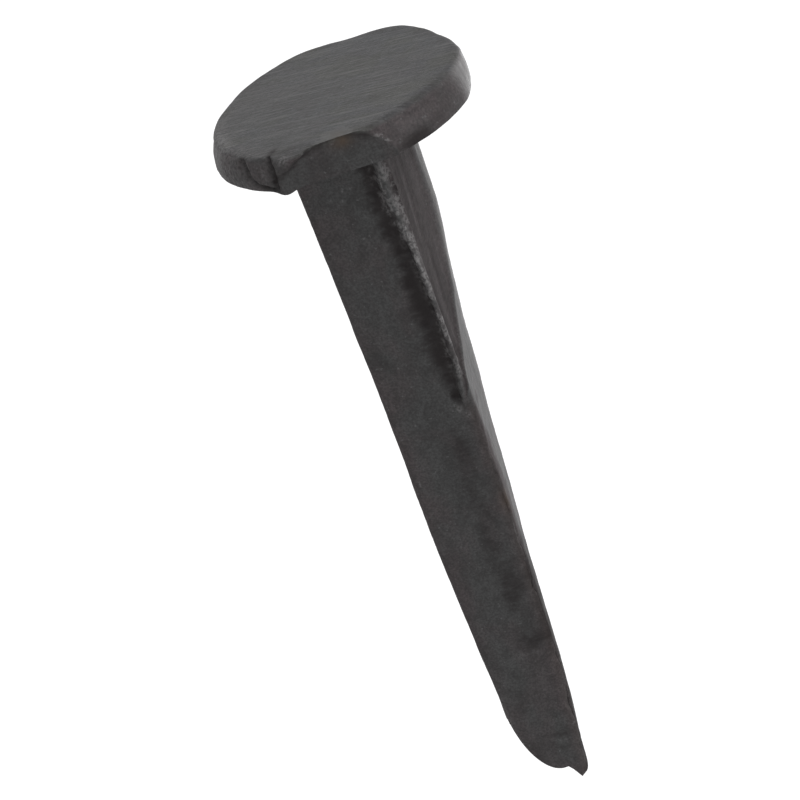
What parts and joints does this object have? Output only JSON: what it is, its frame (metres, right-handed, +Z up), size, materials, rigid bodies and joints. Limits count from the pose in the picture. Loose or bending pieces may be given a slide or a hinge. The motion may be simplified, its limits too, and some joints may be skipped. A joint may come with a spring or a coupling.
{
  "type": "round-headed cut spike",
  "caption": "Forged iron cut spike with a broad round disc head and a wedge-shaped rectangular shank that thins to a chisel point.",
  "frame": {"origin": "centre of the head's underside, the face that bears on the rail foot, plate or timber", "axes": "+Z up through the head, square to the striking face; the point is down at -Z; -Y is the sheared front face; +X is the side with the grip mark"},
  "size_m": [0.0246, 0.0243, 0.0812],
  "materials": {
    "forged_steel": "matte grey-black forge scale, with faint brown and olive staining"
  },
  "bodies": {
    "root": {"spike": "forged_steel"}
  },
  "joints": []
}
